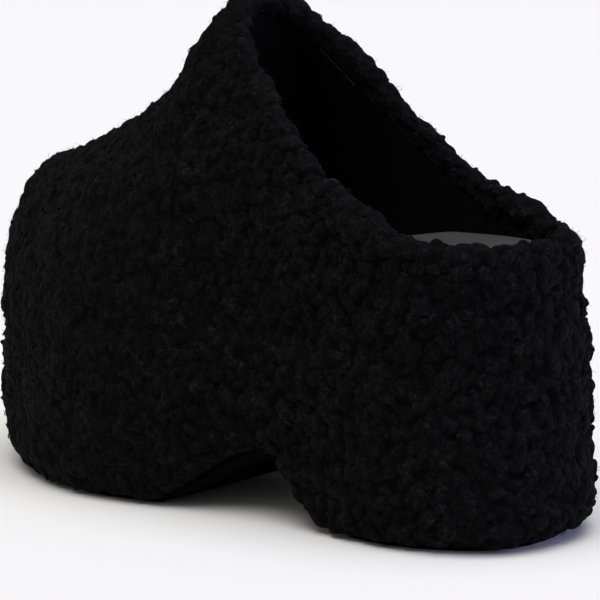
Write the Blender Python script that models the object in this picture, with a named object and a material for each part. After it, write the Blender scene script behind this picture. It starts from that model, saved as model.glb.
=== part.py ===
"""Clog slipper in curly shearling: a hollow upper on a covered platform sole with a block heel.

Run with blender --background --python part.py. Metres, +X towards the toe, +Y to the wearer's left, +Z up.
The shoe stands on the floor with its origin under the middle of its box.

A place is a distance along the foot from the back of the heel. The upper is built of hoops: each stands at
both sides of one place on the feather line, where upper and platform meet, and goes over the crest. The
hoops lean back over the toe, and behind the throat the collar cuts them short.
"""

import bmesh
import bpy
import numpy as np
from mathutils import Matrix

# Places along the foot
LENGTH = 0.268
THROAT_AT = 0.139
BREAST_AT = 0.073
ARCH_TOP_AT = 0.102
TREAD_AT = 0.156
TOE_TREAD_END_AT = 0.222
FAN_AT = 0.166

# Widths over the pile
HEEL_WIDTH = 0.086
WAIST_WIDTH = 0.084
BALL_WIDTH = 0.114
TOE_WIDTH = 0.102

# Heights over the floor
SEAT_HEIGHT = 0.0965
BALL_HEIGHT = 0.050
TOE_HEIGHT = 0.054
RIM_HEIGHT = 0.1027
QUARTER_HEIGHT = 0.1365
THROAT_HEIGHT = 0.188
BEHIND_THROAT_HEIGHT = 0.208
INSTEP_HEIGHT = 0.161
VAMP_HEIGHT = 0.142
TOE_BOX_HEIGHT = 0.1245
TOE_TOP_HEIGHT = 0.121
ARCH_HEIGHT = 0.0228
TOE_SPRING = 0.009

# Round ends of the plan outline, measured along the foot, and its swing to the wearer's right at the toe
HEEL_ROUND = 0.056
TOE_ROUND = 0.072
END_POWER = 2.3
BALL_SWING = 0.0006
TOE_SWING = 0.0057

# Hoops: how square they are, and how far the last one leans back from the toe
HOOP_POWER = 2.1
TOE_LEAN = 0.027
LEAN_POWER = 2.5

# Walls, layers and the gaps between pieces
WALL = 0.0085
INSOLE_THICKNESS = 0.004
INSOLE_EDGE = 0.0012
OUTSOLE_THICKNESS = 0.0024
OUTSOLE_INSET = 0.004
GAP = 0.0003
SIDE_CLEARANCE = 0.0006

# Side of the covered platform
SIDE_BULGE = 0.0008
HEEL_FLARE = 0.0055
FOOT_ROUND = 0.012
BACK_TUCK = 0.008
SIDE_TUCK = 0.002
TOE_TUCK = 0.005

# Locks of the pile, which stand out as low swells
LOCK_PITCH = 0.018
LOCK_SWELL = 0.0016
LOCK_SEED = 7
THROAT_CALM = 0.009

# Mesh density
HEEL_HOOPS = 26
TOE_HOOPS = 24
HOOP_STEPS = 14
LIP_STEPS = 5
HEEL_STEPS = 12
BREAST_STEPS = 7
ARCH_STEPS = 8
TREAD_STEPS = 18
PLATFORM_LEVELS = (0.0, 0.06, 0.14, 0.26, 0.44, 0.63, 0.82, 1.0)

# Plan outline: place as a share of LENGTH, half width as shares of the four named widths, and how much of
# the two swings its middle takes
PLAN = (
    # place, heel, waist, ball, toe, ball_swing, toe_swing
    (0.00, 0.485, 0.00, 0.00, 0.00, 0.0, 0.0),
    (0.18, 0.50, 0.00, 0.00, 0.00, 0.0, 0.0),
    (0.36, 0.00, 0.50, 0.00, 0.00, 0.2, 0.0),
    (0.55, 0.00, 0.25, 0.27, 0.00, 0.8, 0.0),
    (0.68, 0.00, 0.00, 0.50, 0.00, 1.0, 0.0),
    (0.85, 0.00, 0.00, 0.00, 0.50, 0.5, 0.5),
    (1.00, 0.00, 0.00, 0.00, 0.45, 0.0, 1.0),
)

# Feather line: place as a share of LENGTH, height as shares of the three named heights
FEATHER = (
    # place, seat, ball, toe
    (0.00, 1.00, 0.00, 0.00),
    (0.26, 0.99, 0.00, 0.00),
    (0.46, 0.44, 0.56, 0.00),
    (0.66, 0.00, 1.00, 0.00),
    (0.82, 0.00, 1.00, 0.00),
    (1.00, 0.00, 0.00, 1.00),
)

# How far the pile is tucked under at the floor: place as a share of LENGTH, shares of the three named tucks
TUCK = (
    # place, back, side, toe
    (0.00, 1.00, 0.00, 0.00),
    (0.08, 0.80, 0.00, 0.00),
    (0.22, 0.00, 1.00, 0.00),
    (0.42, 0.00, 1.00, 0.00),
    (0.62, 0.00, 0.00, 1.00),
    (1.00, 0.00, 0.00, 1.00),
)

# Collar's edge, below its rounded lip: place as a share of THROAT_AT, height as shares of the three named
# heights
COLLAR = (
    # place, rim, quarter, throat
    (0.00, 1.00, 0.00, 0.00),
    (0.20, 1.00, 0.00, 0.00),
    (0.31, 0.92, 0.08, 0.00),
    (0.40, 0.70, 0.30, 0.00),
    (0.64, 0.00, 1.00, 0.00),
    (1.00, 0.00, 0.00, 1.00),
)


def smooth(rows, values, at):
    """Curve through the values at rising rows that never swings past them."""
    rows, values = np.asarray(rows, float), np.asarray(values, float)
    step = np.diff(rows)
    slope = np.diff(values) / step
    tangent = np.zeros_like(values)
    tangent[0], tangent[-1] = slope[0], slope[-1]
    for i in range(1, len(rows) - 1):
        before, after = slope[i - 1], slope[i]
        if before * after > 0:
            near, far = 2 * step[i] + step[i - 1], step[i] + 2 * step[i - 1]
            tangent[i] = (near + far) / (near / before + far / after)
    at = np.clip(at, rows[0], rows[-1])
    i = np.clip(np.searchsorted(rows, at, "right") - 1, 0, len(step) - 1)
    t = (at - rows[i]) / step[i]
    rise = (3 - 2 * t) * t * t
    lift = step[i] * t * (1 - t) * ((1 - t) * tangent[i] - t * tangent[i + 1])
    return values[i] * (1 - rise) + values[i + 1] * rise + lift


def along(table, unit, sizes, at):
    """Curve through a table whose first column is a share of unit and whose others are shares of sizes."""
    table = np.array(table)
    return smooth(table[:, 0] * unit, table[:, 1:] @ sizes, at)


def rounded_end(share):
    """Width of a rounded end, from 0 at its tip to 1."""
    return (1 - (1 - np.clip(share, 0, 1)) ** END_POWER) ** (1 / END_POWER)


def plan(at):
    """Middle and half width of the outline on the feather line."""
    table = np.array(PLAN)
    middle = along(table[:, (0, 5, 6)], LENGTH, (BALL_SWING, -TOE_SWING), at)
    half = along(table[:, :5], LENGTH, (HEEL_WIDTH, WAIST_WIDTH, BALL_WIDTH, TOE_WIDTH), at)
    return middle, half * rounded_end(at / HEEL_ROUND) * rounded_end((LENGTH - at) / TOE_ROUND)


def side_line(places, side, inset):
    """Points x, y and outward normals of one side of the outline (1 left, -1 right), moved in by inset."""
    middle, half = plan(places)
    reach = 0.00005
    ahead, behind = (m + side * h for m, h in (plan(places + reach), plan(places - reach)))
    slope = (ahead - behind) / (2 * reach)
    normal = np.stack([-side * slope, np.full_like(slope, side)], axis=1)
    normal /= np.linalg.norm(normal, axis=1)[:, None]
    normal[places <= 0] = (-1, 0)
    normal[places >= LENGTH] = (1, 0)
    points = np.stack([places, middle + side * half], axis=1)
    return points - normal * np.reshape(inset, (-1, 1)), normal


def feather(at):
    """Height of the feather line."""
    return along(FEATHER, LENGTH, (SEAT_HEIGHT, BALL_HEIGHT, TOE_HEIGHT), at)


def tread(at):
    """Height of the walking surface: flat at heel and forefoot, raised at the arch and at the toe."""
    places = (0, BREAST_AT, ARCH_TOP_AT, TREAD_AT, TOE_TREAD_END_AT, LENGTH)
    return smooth(places, (0, 0, ARCH_HEIGHT, 0, 0, TOE_SPRING), at)


def crest(at):
    """Place and height of a hoop's top."""
    past_fan = np.clip((at - FAN_AT) / (LENGTH - FAN_AT), 0, 1)
    place = at - TOE_LEAN * past_fan**LEAN_POWER
    places = np.array([0, THROAT_AT / LENGTH, 0.60, 0.70, 0.86, 1 - TOE_LEAN / LENGTH + 0.001]) * LENGTH
    heights = (BEHIND_THROAT_HEIGHT, THROAT_HEIGHT, INSTEP_HEIGHT, VAMP_HEIGHT, TOE_BOX_HEIGHT, TOE_TOP_HEIGHT)
    return place, smooth(places, heights, place)


def lock_centres():
    """One point to each cell of a lattice round the shoe, moved about within its cell."""
    box = np.array([LENGTH, BALL_WIDTH, THROAT_HEIGHT]) + 4 * LOCK_PITCH
    low = np.array([0, -BALL_WIDTH / 2, 0]) - 2 * LOCK_PITCH
    cells = np.stack(np.meshgrid(*(np.arange(n) for n in np.ceil(box / LOCK_PITCH)), indexing="ij"), axis=-1)
    shift = np.random.default_rng(LOCK_SEED).uniform(0.15, 0.85, cells.shape)
    return (low + (cells + shift) * LOCK_PITCH).reshape(-1, 3)


def lock_swell(points, centres):
    """How far the pile stands out at each point: most in the middle of a lock."""
    nearest = np.array([np.linalg.norm(centres - p, axis=1).min() for p in points])
    return LOCK_SWELL * (1 - 2 * nearest / LOCK_PITCH)


def hoop_places():
    """Places of the hoops, closest together at heel, throat and toe."""
    heel = THROAT_AT * (0.5 - 0.5 * np.cos(np.linspace(0, np.pi, HEEL_HOOPS + 1)))
    toe = THROAT_AT + (LENGTH - THROAT_AT) * np.sin(np.linspace(0, np.pi / 2, TOE_HOOPS + 1))
    return np.concatenate([heel[:-1], toe])


def sole_places():
    """Places of the stations of the sole, closest together at heel, breast and toe."""
    heel = BREAST_AT * (1 - np.cos(np.linspace(0, np.pi / 2, HEEL_STEPS + 1)))
    breast = np.linspace(BREAST_AT, ARCH_TOP_AT, BREAST_STEPS + 1)
    arch = np.linspace(ARCH_TOP_AT, TREAD_AT, ARCH_STEPS + 1)
    forefoot = TREAD_AT + (LENGTH - TREAD_AT) * np.sin(np.linspace(0, np.pi / 2, TREAD_STEPS + 1))
    return np.concatenate([heel[:-1], breast[:-1], arch[:-1], forefoot])


def hoop_points(side, places, angles):
    """Points on one side of whole hoops (1 left, -1 right), at angles from 0 on the feather line to a crest."""
    middle, half = plan(places)
    low = feather(places)
    top_place, high = crest(places)
    top_middle = plan(top_place)[0]
    out = np.clip(np.cos(angles), 0, 1) ** (2 / HOOP_POWER)
    up = np.clip(np.sin(angles), 0, 1) ** (2 / HOOP_POWER)
    x = top_place + (places - top_place) * out
    y = top_middle + (middle + side * half - top_middle) * out
    return np.stack([x, y, low + (high - low) * up], axis=-1)


def half_hoops(side):
    """Rows of points and outward normals of one side of the upper, from the feather line to crest or collar."""
    places = hoop_places()
    low, (_, high) = feather(places), crest(places)
    edge = along(COLLAR, THROAT_AT, (RIM_HEIGHT, QUARTER_HEIGHT, THROAT_HEIGHT), places)
    share = np.where(places < THROAT_AT, (edge - low) / (high - low), 1)
    angles = np.outer(np.linspace(0, 1, HOOP_STEPS + 1), np.arcsin(np.clip(share, 0, 1) ** (HOOP_POWER / 2)))
    points = hoop_points(side, places, angles)

    step = 0.00002
    forward = hoop_points(side, places + step, angles) - hoop_points(side, places - step, angles)
    round_it = hoop_points(side, places, angles + step) - hoop_points(side, places, angles - step)
    normals = side * np.cross(round_it, forward)
    on_crest = np.broadcast_to(share >= 1, angles.shape) & (angles > 1.57)
    normals[on_crest] = np.cross(forward, (0, 1, 0))[on_crest]
    normals[:, places >= LENGTH] = np.cross((0, 1, 0), round_it)[:, places >= LENGTH]
    normals[:, places <= 0] = (-1, 0, 0)
    normals[0, :, 2] = 0
    return places, points, normals / np.linalg.norm(normals, axis=-1)[..., None]


def build_upper(collection, finish, centres):
    """Hollow upper: outer skin of hoops, inner skin a wall inside it, joined by the lip and the seam below."""
    bm = bmesh.new()
    sides, inner = {}, {}
    for side in (1, -1):
        places, points, normals = half_hoops(side)
        calm = np.clip(np.abs(places - THROAT_AT) / THROAT_CALM, 0, 1)
        height = np.arange(HOOP_STEPS + 1)[:, None] / HOOP_STEPS
        swell = lock_swell(points.reshape(-1, 3), centres).reshape(height.size, -1)
        skin = points + normals * (swell * (1 - height * (1 - calm)))[..., None]
        lining = points - normals * WALL
        for edge in (skin[0], lining[0]):
            edge[:, 2] = feather(edge[:, 0])
        sides[side] = [[bm.verts.new(p) for p in row] for row in skin]
        for row, (step, i) in ((sides[side], index) for index in np.ndindex(*swell.shape)):
            row[step][i].normal = normals[step, i]
            if side < 0 and (sides[1][step][i].co - row[step][i].co).length < 0.000001:
                bm.verts.remove(row[step][i])
                row[step][i] = sides[1][step][i]
            else:
                inner[row[step][i]] = bm.verts.new(lining[step, i])
        for below, above in zip(sides[side], sides[side][1:]):
            for i in range(len(places) - 1):
                face = (below[i], below[i + 1], above[i + 1], above[i])[::-side]
                bm.faces.new(face)
                bm.faces.new([inner[vert] for vert in reversed(face)])

    throat = int(np.argmin(np.abs(places - THROAT_AT)))
    around = sides[1][-1][: throat + 1] + sides[-1][-1][throat - 1 : 0 : -1]
    count = len(around)
    lip = [around]
    for turn in np.linspace(0, np.pi, LIP_STEPS + 1)[1:-1]:
        ring = []
        for i, vert in enumerate(around):
            tangent = around[(i + 1) % count].co - around[i - 1].co
            upward = tangent.cross(vert.normal).normalized()
            middle = (vert.co + inner[vert].co) / 2
            out = (vert.co - inner[vert].co) / 2
            ring.append(bm.verts.new(middle + out * np.cos(turn) + upward * out.length * np.sin(turn)))
        lip.append(ring)
    lip.append([inner[vert] for vert in around])
    for outside, inside in zip(lip, lip[1:]):
        for i in range(count):
            j = (i + 1) % count
            bm.faces.new((outside[i], outside[j], inside[j], inside[i]))
    seam = sides[1][0] + sides[-1][0][-2:0:-1]
    for a, b in zip(seam, seam[1:] + seam[:1]):
        bm.faces.new((a, b, inner[b], inner[a]))
    bmesh.ops.recalc_face_normals(bm, faces=bm.faces)
    mesh = bpy.data.meshes.new("upper")
    bm.to_mesh(mesh)
    bm.free()
    return add_part("upper", mesh, finish, collection)


def sole_piece(name, places, layers, finish, collection, centres=None):
    """Closed solid between layers, bottom one first; each has heights from a function and an inset in metres.

    With centres given, the pile's locks stand out from its sides, less and less towards the bottom layer.
    """
    bm = bmesh.new()
    rows = []
    for level, (height, inset) in enumerate(layers):
        row = []
        for side in (1, -1):
            points, normal = side_line(places, side, inset)
            if centres is not None and level:
                solid = np.column_stack([points, height(points[:, 0])])
                points = points + normal * (lock_swell(solid, centres) * min(1, level / 3))[:, None]
            solid = np.column_stack([points, height(points[:, 0])])
            row.append([bm.verts.new(p) for p in solid])
        for i in (0, -1):
            if (row[0][i].co - row[1][i].co).length < 0.000001:
                bm.verts.remove(row[1][i])
                row[1][i] = row[0][i]
        rows.append(row)

    def face(*corners):
        corners = tuple(dict.fromkeys(corners))
        if len(corners) > 2:
            bm.faces.new(corners)

    for (left, right), (left_up, right_up) in zip(rows, rows[1:]):
        for i in range(len(places) - 1):
            face(left[i], left[i + 1], left_up[i + 1], left_up[i])
            face(right[i], right[i + 1], right_up[i + 1], right_up[i])
        for i in (0, -1):
            face(left[i], right[i], right_up[i], left_up[i])
    for left, right in (rows[0], rows[-1]):
        for i in range(len(places) - 1):
            face(left[i], left[i + 1], right[i + 1], right[i])
    bmesh.ops.recalc_face_normals(bm, faces=bm.faces)
    mesh = bpy.data.meshes.new(name)
    bm.to_mesh(mesh)
    bm.free()
    return add_part(name, mesh, finish, collection)


def side_inset(places, share):
    """How far the platform's side stands in from the outline at a share of its height."""
    height = share * (feather(places) - tread(places))
    tuck = along(TUCK, LENGTH, (BACK_TUCK, SIDE_TUCK, TOE_TUCK), places)
    tuck *= np.clip(1 - height / FOOT_ROUND, 0, 1) ** 2
    flare = HEEL_FLARE * np.clip(1 - places / BREAST_AT, 0, 1) * (1 - share)
    return tuck - flare - SIDE_BULGE * np.sin(np.pi * share)


def build_platform(collection, finish, centres):
    def height_at(share):
        bottom = OUTSOLE_THICKNESS + GAP
        return lambda x: (tread(x) + bottom) * (1 - share) + (feather(x) - GAP) * share

    places = sole_places()
    layers = [(height_at(share), side_inset(places, share)) for share in PLATFORM_LEVELS]
    return sole_piece("platform", places, layers, finish, collection, centres)


def build_insole(collection, finish):
    places = sole_places()
    edge = WALL + SIDE_CLEARANCE
    layers = [
        (lambda x: feather(x), edge + INSOLE_EDGE / 2),
        (lambda x: feather(x) + INSOLE_EDGE, edge),
        (lambda x: feather(x) + INSOLE_THICKNESS - INSOLE_EDGE, edge),
        (lambda x: feather(x) + INSOLE_THICKNESS, edge + INSOLE_EDGE),
    ]
    return sole_piece("insole", places, layers, finish, collection)


def build_bottom(name, places, collection, finish):
    """Rubber sheet under the platform between the first and last of the places."""
    edge = side_inset(places, 0) + OUTSOLE_INSET
    layers = [(lambda x: tread(x), edge), (lambda x: tread(x) + OUTSOLE_THICKNESS, edge)]
    return sole_piece(name, places, layers, finish, collection)


def material(name, colour, roughness):
    made = bpy.data.materials.new(name)
    made.use_nodes = True
    shader = made.node_tree.nodes["Principled BSDF"]
    shader.inputs["Base Color"].default_value = (*colour, 1)
    shader.inputs["Roughness"].default_value = roughness
    shader.inputs["Metallic"].default_value = 0
    return made


def add_part(name, mesh, finish, collection):
    """Links a mesh as a named object with its material, shaded smooth up to sharp edges."""
    obj = bpy.data.objects.new(name, mesh)
    collection.objects.link(obj)
    mesh.materials.append(finish)
    mesh.shade_smooth()
    mesh.set_sharp_from_angle(angle=np.radians(50))
    return obj


def centre(parts):
    """Moves the parts so that the middle of their box's underside is the origin."""
    points = np.concatenate([[v.co for v in obj.data.vertices] for obj in parts])
    low, high = points.min(axis=0), points.max(axis=0)
    shift = Matrix.Translation((-(low[0] + high[0]) / 2, -(low[1] + high[1]) / 2, -low[2]))
    for obj in parts:
        obj.data.transform(shift)


def main():
    for obj in list(bpy.data.objects):
        bpy.data.objects.remove(obj)
    collection = bpy.data.collections.new("clog_slipper")
    bpy.context.scene.collection.children.link(collection)

    centres = lock_centres()
    places = sole_places()
    upper_pile = material("upper_pile", (0.008, 0.008, 0.009), 0.95)
    platform_pile = material("platform_pile", (0.008, 0.008, 0.009), 0.95)
    footbed_leather = material("footbed_leather", (0.032, 0.032, 0.034), 0.55)
    sole_rubber = material("sole_rubber", (0.014, 0.014, 0.015), 0.7)
    heel_rubber = material("heel_rubber", (0.014, 0.014, 0.015), 0.7)
    centre(
        [
            build_upper(collection, upper_pile, centres),
            build_platform(collection, platform_pile, centres),
            build_insole(collection, footbed_leather),
            build_bottom("outsole", places[places > ARCH_TOP_AT - 0.001], collection, sole_rubber),
            build_bottom("heel_top_piece", places[places < BREAST_AT - 0.001], collection, heel_rubber),
        ]
    )


main()
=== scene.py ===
"""Clog slipper in curly black shearling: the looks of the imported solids. Metres, +X towards the toe.

The pile is a skin of rounded locks with small tufts, wisps and hairs on it, over a dark backing. It follows
the outline, hoops and platform sides of the solids. Inside are a smooth lining with a bound edge and a
leather footbed, underneath are two rubber soles.
"""

import math

import bmesh
import bpy
import numpy as np
from mathutils import Matrix, Vector, kdtree


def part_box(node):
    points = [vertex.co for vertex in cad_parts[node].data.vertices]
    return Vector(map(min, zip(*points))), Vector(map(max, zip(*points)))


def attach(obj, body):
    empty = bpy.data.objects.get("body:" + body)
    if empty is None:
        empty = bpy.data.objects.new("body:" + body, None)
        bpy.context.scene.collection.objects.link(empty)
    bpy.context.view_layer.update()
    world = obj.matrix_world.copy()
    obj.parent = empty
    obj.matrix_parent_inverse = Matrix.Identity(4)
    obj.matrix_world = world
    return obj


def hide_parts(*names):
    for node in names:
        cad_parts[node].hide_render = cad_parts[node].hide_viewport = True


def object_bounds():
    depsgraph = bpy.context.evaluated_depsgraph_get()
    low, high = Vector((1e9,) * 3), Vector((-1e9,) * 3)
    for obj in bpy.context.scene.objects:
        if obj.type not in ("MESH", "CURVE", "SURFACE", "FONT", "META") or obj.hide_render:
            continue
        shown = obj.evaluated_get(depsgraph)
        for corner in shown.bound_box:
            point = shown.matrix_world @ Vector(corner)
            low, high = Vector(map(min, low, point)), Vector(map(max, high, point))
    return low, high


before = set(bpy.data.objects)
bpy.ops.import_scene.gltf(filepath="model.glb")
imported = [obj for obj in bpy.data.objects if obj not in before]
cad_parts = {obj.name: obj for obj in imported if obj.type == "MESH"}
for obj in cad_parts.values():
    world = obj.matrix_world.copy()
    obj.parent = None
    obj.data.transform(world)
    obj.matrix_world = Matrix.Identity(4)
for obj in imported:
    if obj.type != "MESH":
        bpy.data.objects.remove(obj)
cad_box = [list(corner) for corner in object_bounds()]
bpy.ops.object.select_all(action="DESELECT")

# Sizes of the solids
LENGTH = 0.268
THROAT_AT = 0.139
BREAST_AT = 0.073
ARCH_TOP_AT = 0.102
TREAD_AT = 0.156
TOE_TREAD_END_AT = 0.222
FAN_AT = 0.166
HEEL_WIDTH = 0.086
WAIST_WIDTH = 0.084
BALL_WIDTH = 0.114
TOE_WIDTH = 0.102
SEAT_HEIGHT = 0.0965
BALL_HEIGHT = 0.050
TOE_HEIGHT = 0.054
RIM_HEIGHT = 0.1027
QUARTER_HEIGHT = 0.1365
THROAT_HEIGHT = 0.188
BEHIND_THROAT_HEIGHT = 0.208
INSTEP_HEIGHT = 0.161
VAMP_HEIGHT = 0.142
TOE_BOX_HEIGHT = 0.1245
TOE_TOP_HEIGHT = 0.121
CREST_HEIGHTS = (
    BEHIND_THROAT_HEIGHT,
    THROAT_HEIGHT,
    INSTEP_HEIGHT,
    VAMP_HEIGHT,
    TOE_BOX_HEIGHT,
    TOE_TOP_HEIGHT,
)
ARCH_HEIGHT = 0.0228
TOE_SPRING = 0.009
HEEL_ROUND = 0.056
TOE_ROUND = 0.072
END_POWER = 2.3
BALL_SWING = 0.0006
TOE_SWING = 0.0057
HOOP_POWER = 2.1
TOE_LEAN = 0.027
LEAN_POWER = 2.5
WALL = 0.0085
SIDE_CLEARANCE = 0.0006
OUTSOLE_THICKNESS = 0.0024
GAP = 0.0003
SIDE_BULGE = 0.0008
HEEL_FLARE = 0.0055
FOOT_ROUND = 0.012
BACK_TUCK = 0.008
SIDE_TUCK = 0.002
TOE_TUCK = 0.005
LOCK_PITCH = 0.018
LOCK_SWELL = 0.0016
LOCK_SEED = 7

# place, heel, waist, ball, toe, ball_swing, toe_swing
PLAN = (
    (0.00, 0.485, 0.00, 0.00, 0.00, 0.0, 0.0),
    (0.18, 0.50, 0.00, 0.00, 0.00, 0.0, 0.0),
    (0.36, 0.00, 0.50, 0.00, 0.00, 0.2, 0.0),
    (0.55, 0.00, 0.25, 0.27, 0.00, 0.8, 0.0),
    (0.68, 0.00, 0.00, 0.50, 0.00, 1.0, 0.0),
    (0.85, 0.00, 0.00, 0.00, 0.50, 0.5, 0.5),
    (1.00, 0.00, 0.00, 0.00, 0.45, 0.0, 1.0),
)
# place, seat, ball, toe
FEATHER = (
    (0.00, 1.00, 0.00, 0.00),
    (0.26, 0.99, 0.00, 0.00),
    (0.46, 0.44, 0.56, 0.00),
    (0.66, 0.00, 1.00, 0.00),
    (0.82, 0.00, 1.00, 0.00),
    (1.00, 0.00, 0.00, 1.00),
)
# place, back, side, toe
TUCK = (
    (0.00, 1.00, 0.00, 0.00),
    (0.08, 0.80, 0.00, 0.00),
    (0.22, 0.00, 1.00, 0.00),
    (0.42, 0.00, 1.00, 0.00),
    (0.62, 0.00, 0.00, 1.00),
    (1.00, 0.00, 0.00, 1.00),
)
# place, rim, quarter, throat
COLLAR = (
    (0.00, 1.00, 0.00, 0.00),
    (0.20, 1.00, 0.00, 0.00),
    (0.31, 0.92, 0.08, 0.00),
    (0.40, 0.70, 0.30, 0.00),
    (0.64, 0.00, 1.00, 0.00),
    (1.00, 0.00, 0.00, 1.00),
)

# place, left, right: how much fuller the lip is, in metres
LIP_FULLNESS = (
    (0.000, 0.0000, 0.0000),
    (0.014, 0.0000, -0.0012),
    (0.026, 0.0016, 0.0008),
    (0.040, 0.0022, 0.0042),
    (0.050, 0.0026, 0.0028),
    (0.062, 0.0010, -0.0006),
    (0.070, -0.0008, -0.0018),
    (0.078, -0.0012, -0.0008),
    (0.100, -0.0004, 0.0000),
    (0.113, 0.0000, 0.0019),
    (0.126, 0.0000, 0.0000),
    (0.139, 0.0000, 0.0000),
)

# Locks of the pile: distance from one to the next at heel and toe, and sizes as shares of that distance
LOCK_GAP_HEEL = 0.0044
LOCK_GAP_TOE = 0.0036
PRESSED_FROM = 0.06
PRESSED_OVER = 0.12
GAP_SPREAD = (-0.34, 0.30)
LOCK_SPACING = 0.9
LOCK_LENGTH = (0.68, 1.08)
LOCK_WIDTH = (0.52, 0.74)
LOCK_HEIGHT = (0.28, 0.56)
LOCK_TONE = (0.6, 1.0)
LOWEST_LOCK = 0.0003
LOCKS_NEAR = 7
LOCK_BLEND = 9

# Tufts and wisps that stand on the locks
TUFT_SPACING = 0.8
TUFT_SHARE = 0.75
TUFT_SIZE = (0.22, 0.46)
WISP_SHARE = 0.22
WISP_SIZE = (0.3, 0.5)
LOWEST_TUFT = 0.0016
TUFT_KINDS = 10
WISP_KINDS = 8

# Stray hairs
STRAY_HAIRS = 9000
HAIR_LENGTH = (0.0012, 0.0036)
HAIR_RADIUS = (0.00005, 0.00009)
HAIR_CURL = (0.5, 3.6)
HAIR_OFFSET = 0.0018
HAIR_RINGS = 4
HAIR_ROOT = 0.0004
COLLAR_HAIR_BAND = 0.008
COLLAR_HAIR_PAST = 0.006
COLLAR_HAIR_WEIGHT = 3.0

# The hide: how deep it lies, its foot over the floor, and how far it turns in at the collar
SKIN_DEPTH = 0.0014
SKIN_STEP = 0.00095
SCATTER_STEP = 0.003
POINTS_PER_LOCK = 9
EDGE_TUCK = 0.003
PILE_FOOT = 0.0014
ARCH_LIFT = 0.0020
BACK_LIFT = 0.0004
BACK_LIFT_OVER = 0.03
TOE_FULLNESS = 0.0020
TOE_FULL_FROM = 0.19
TOE_FULL_OVER = 0.05
BACKING_DEPTH = 0.0026
TURN_IN = 0.007
BEND_SIZE = 0.009
BEND_REACH = 0.0010
FLOOR_CLEARANCE = 0.0004

# Longest way up or across each part of the pile, which sets how many rows of points it has
UPPER_RISE = 0.115
LIP_ROUND = 0.014
PLATFORM_RISE = 0.085
BREAST_RISE = 0.036
BREAST_WIDTH = 0.085
BREAST_SUNK = 0.004

# Inside
LINING_CLEARANCE = 0.0002
BINDING_FROM = 0.112
BINDING_TO = 0.126
BINDING_RADIUS = 0.00022
FOOTBED_THICKNESS = 0.0046
FOOTBED_CROWN = 0.0014
FOOTBED_ROLL = 0.003
FOOTBED_STEP = 0.003

# Looks
# Brightness of the painted highlights on single fibres
FIBRE_HIGHLIGHT_BOOST = 2.1
WOOL_BUMP = 0.0009
GRAIN_BUMP = 0.0003

MERGE_DISTANCE = 0.00001

rng = np.random.default_rng(3)


def unit(vectors):
    return vectors / np.maximum(np.linalg.norm(vectors, axis=-1), 1e-12)[..., None]


def smooth(rows, values, at):
    """Curve through the values at rising rows that never swings past them."""
    rows, values = np.asarray(rows, float), np.asarray(values, float)
    step = np.diff(rows)
    slope = np.diff(values) / step
    tangent = np.zeros_like(values)
    tangent[0], tangent[-1] = slope[0], slope[-1]
    for i in range(1, len(rows) - 1):
        before, after = slope[i - 1], slope[i]
        if before * after > 0:
            near, far = 2 * step[i] + step[i - 1], step[i] + 2 * step[i - 1]
            tangent[i] = (near + far) / (near / before + far / after)
    at = np.clip(at, rows[0], rows[-1])
    i = np.clip(np.searchsorted(rows, at, "right") - 1, 0, len(step) - 1)
    t = (at - rows[i]) / step[i]
    rise = (3 - 2 * t) * t * t
    lift = step[i] * t * (1 - t) * ((1 - t) * tangent[i] - t * tangent[i + 1])
    return values[i] * (1 - rise) + values[i + 1] * rise + lift


def along(table, span, sizes, at):
    """Curve through a table whose first column is a share of span and whose others are shares of sizes."""
    table = np.array(table)
    return smooth(table[:, 0] * span, table[:, 1:] @ sizes, at)


def rounded_end(share):
    return (1 - (1 - np.clip(share, 0, 1)) ** END_POWER) ** (1 / END_POWER)


def plan(at):
    """Middle and half width of the outline on the feather line."""
    table = np.array(PLAN)
    middle = along(table[:, (0, 5, 6)], LENGTH, (BALL_SWING, -TOE_SWING), at)
    half = along(table[:, :5], LENGTH, (HEEL_WIDTH, WAIST_WIDTH, BALL_WIDTH, TOE_WIDTH), at)
    return middle, half * rounded_end(at / HEEL_ROUND) * rounded_end((LENGTH - at) / TOE_ROUND)


def side_line(places, side, inset):
    """Points x, y and outward normals of one side of the outline (1 left, -1 right), moved in by inset."""
    middle, half = plan(places)
    reach = 0.00005
    ahead, behind = (m + side * h for m, h in (plan(places + reach), plan(places - reach)))
    slope = (ahead - behind) / (2 * reach)
    normal = unit(np.stack([-side * slope, np.full_like(slope, side)], axis=1))
    normal[places <= 0] = (-1, 0)
    normal[places >= LENGTH] = (1, 0)
    points = np.stack([places, middle + side * half], axis=1)
    return points - normal * np.reshape(inset, (-1, 1)), normal


def feather(at):
    return along(FEATHER, LENGTH, (SEAT_HEIGHT, BALL_HEIGHT, TOE_HEIGHT), at)


def tread(at):
    places = (0, BREAST_AT, ARCH_TOP_AT, TREAD_AT, TOE_TREAD_END_AT, LENGTH)
    return smooth(places, (0, 0, ARCH_HEIGHT, 0, 0, TOE_SPRING), at)


def crest(at):
    """Place and height of a hoop's top."""
    past_fan = np.clip((at - FAN_AT) / (LENGTH - FAN_AT), 0, 1)
    place = at - TOE_LEAN * past_fan**LEAN_POWER
    places = np.array([0, THROAT_AT / LENGTH, 0.60, 0.70, 0.86, 1 - TOE_LEAN / LENGTH + 0.001]) * LENGTH
    return place, smooth(places, CREST_HEIGHTS, place)


def lock_centres():
    box = np.array([LENGTH, BALL_WIDTH, THROAT_HEIGHT]) + 4 * LOCK_PITCH
    low = np.array([0, -BALL_WIDTH / 2, 0]) - 2 * LOCK_PITCH
    counts = [np.arange(n) for n in np.ceil(box / LOCK_PITCH)]
    cells = np.stack(np.meshgrid(*counts, indexing="ij"), axis=-1)
    shift = np.random.default_rng(LOCK_SEED).uniform(0.15, 0.85, cells.shape)
    return (low + (cells + shift) * LOCK_PITCH).reshape(-1, 3)


def tree_of(points):
    """The points sorted so that the nearest can be found."""
    tree = kdtree.KDTree(len(points))
    for number, point in enumerate(points):
        tree.insert(point, number)
    tree.balance()
    return tree


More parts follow.
